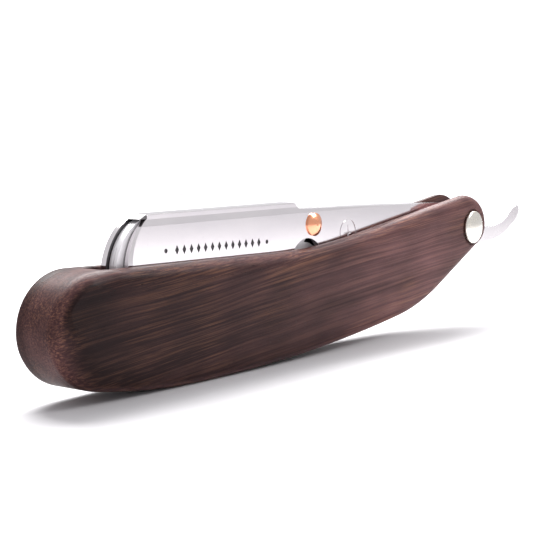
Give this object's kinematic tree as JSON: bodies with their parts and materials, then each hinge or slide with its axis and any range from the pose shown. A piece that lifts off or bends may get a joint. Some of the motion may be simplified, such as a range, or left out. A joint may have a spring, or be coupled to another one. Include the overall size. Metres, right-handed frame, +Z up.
{
  "type": "straight razor",
  "caption": "Folding barber's straight razor for half blades, with a polished steel arm, a swing-out blade carrier and a curved dark wooden handle.",
  "frame": {"origin": "middle of the bounding box in X and Y, at the level of the handle's belly (lowest point)", "axes": "+X along the closed razor towards the curled tail, -Y the marked front face, +Z up from belly to spine"},
  "size_m": [0.1732, 0.0148, 0.0331],
  "materials": {
    "rosewood": "oiled satin, fine grain along the handle",
    "polished_steel": "mirror polished stainless steel",
    "nickel_silver": "polished, warm white",
    "brass": "plain turned",
    "copper": "polished copper",
    "satin_steel": "satin stainless steel",
    "blade_steel": "rolled blade steel"
  },
  "bodies": {
    "handle": {"front_scale": "rosewood", "back_scale": "rosewood", "end_spacer": "rosewood", "pivot_pin": "polished_steel", "front_pivot_button": "nickel_silver", "back_pivot_button": "nickel_silver", "front_pivot_collar": "nickel_silver", "back_pivot_collar": "nickel_silver", "front_tang_washer": "brass", "back_tang_washer": "brass"},
    "blade_arm": {"blade_arm": "polished_steel", "carrier_rivet": "copper", "front_rivet_shim": "brass", "back_rivet_shim": "brass"},
    "blade_carrier": {"carrier_plate": "satin_steel", "clamp_leaf": "satin_steel", "blade_pegs": "polished_steel", "half_blade": "blade_steel"}
  },
  "joints": [
    {"name": "arm_pivot", "type": "hinge", "parent": "handle", "child": "blade_arm", "pos_m": [0.05309, 0, 0.02397], "axis": [0, 1, 0], "range_deg": [0, 270]},
    {"name": "carrier_hinge", "type": "hinge", "parent": "blade_arm", "child": "blade_carrier", "pos_m": [-0.00851, 0, 0.02817], "axis": [0, -1, 0], "range_deg": [0, 35]}
  ]
}
